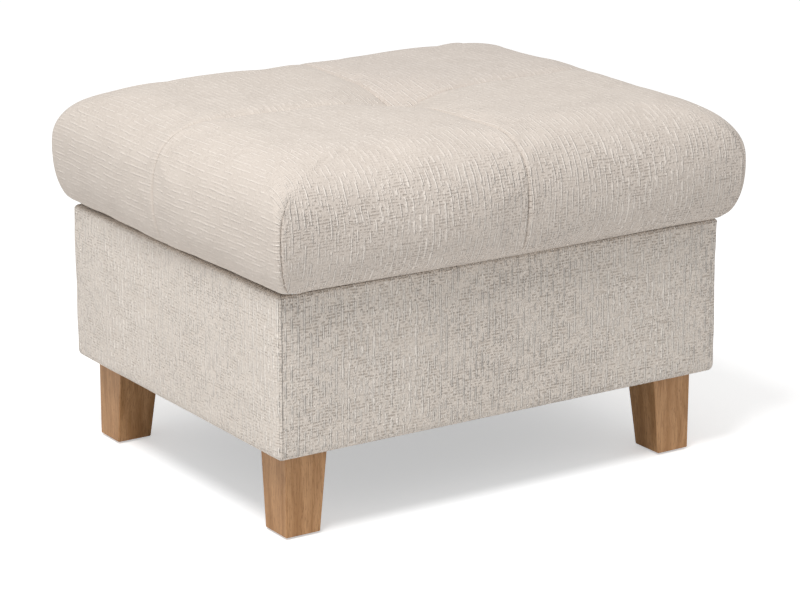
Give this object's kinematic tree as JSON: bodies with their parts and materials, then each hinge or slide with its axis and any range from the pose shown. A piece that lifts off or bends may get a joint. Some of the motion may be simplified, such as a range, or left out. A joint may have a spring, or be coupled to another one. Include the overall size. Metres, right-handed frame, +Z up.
{
  "type": "footstool",
  "caption": "Rectangular upholstered footstool: crowned seat quartered by seams that meet in a sewn tuft, on a padded box base with tapered wooden legs.",
  "frame": {"origin": "on the floor under the centre of the seat, which is the centre of the overall outline", "axes": "+Z up, X along the long side, -Y towards the front, the long face that the picture shows"},
  "size_m": [0.6862, 0.5602, 0.456],
  "materials": {
    "carcass_board": "sawn particle board, unfinished",
    "softwood": "planed softwood, unfinished",
    "dowel_wood": "fluted beech dowel, unfinished",
    "wadding": "polyester fibre wadding",
    "base_fabric": "textured woven chenille, warm cream",
    "seat_fabric": "textured woven chenille, warm cream",
    "leg_beech": "beech, clear satin lacquer",
    "glide_plastic": "moulded nylon, dark brown",
    "black_sheet": "non-woven sheet, black",
    "felt": "needled felt, grey",
    "foam": "polyurethane foam, cut",
    "spring_steel": "drawn spring wire, oiled",
    "zinc_steel": "zinc plated",
    "twine": "waxed linen twine",
    "toggle_plastic": "moulded plastic"
  },
  "bodies": {
    "root": {"base_board_front": "carcass_board", "base_board_back": "carcass_board", "base_board_left": "carcass_board", "base_board_right": "carcass_board", "base_cleat_left": "softwood", "base_cleat_right": "softwood", "base_corner_block_front_left": "softwood", "base_corner_block_front_right": "softwood", "base_corner_block_back_left": "softwood", "base_corner_block_back_right": "softwood", "seat_rail_front": "softwood", "seat_rail_back": "softwood", "seat_rail_left": "softwood", "seat_rail_right": "softwood", "seat_rail_dowels": "dowel_wood", "base_padding_front": "wadding", "base_padding_back": "wadding", "base_padding_left": "wadding", "base_padding_right": "wadding", "seat_wadding_front_left": "wadding", "seat_wadding_front_right": "wadding", "seat_wadding_back_left": "wadding", "seat_wadding_back_right": "wadding", "base_cover_front": "base_fabric", "base_cover_back": "base_fabric", "base_cover_left": "base_fabric", "base_cover_right": "base_fabric", "seat_cover_front_left": "seat_fabric", "seat_cover_front_right": "seat_fabric", "seat_cover_back_left": "seat_fabric", "seat_cover_back_right": "seat_fabric", "leg_front_left": "leg_beech", "leg_front_right": "leg_beech", "leg_back_left": "leg_beech", "leg_back_right": "leg_beech", "leg_glide_front_left": "glide_plastic", "leg_glide_front_right": "glide_plastic", "leg_glide_back_left": "glide_plastic", "leg_glide_back_right": "glide_plastic", "dust_cover": "black_sheet", "seat_felt": "felt", "seat_foam": "foam", "seat_spring_1": "spring_steel", "seat_spring_2": "spring_steel", "seat_spring_3": "spring_steel", "seat_spring_4": "spring_steel", "seat_spring_5": "spring_steel", "seat_spring_6": "spring_steel", "spring_tie_wires": "spring_steel", "spring_clips": "zinc_steel", "leg_bolts": "zinc_steel", "leg_tee_nuts": "zinc_steel", "seat_fixing_screws": "zinc_steel", "base_board_screws": "zinc_steel", "dust_cover_staples": "zinc_steel", "seat_cover_staples": "zinc_steel", "base_cover_staples": "zinc_steel", "tuft_twine": "twine", "tuft_toggle": "toggle_plastic"}
  },
  "joints": []
}
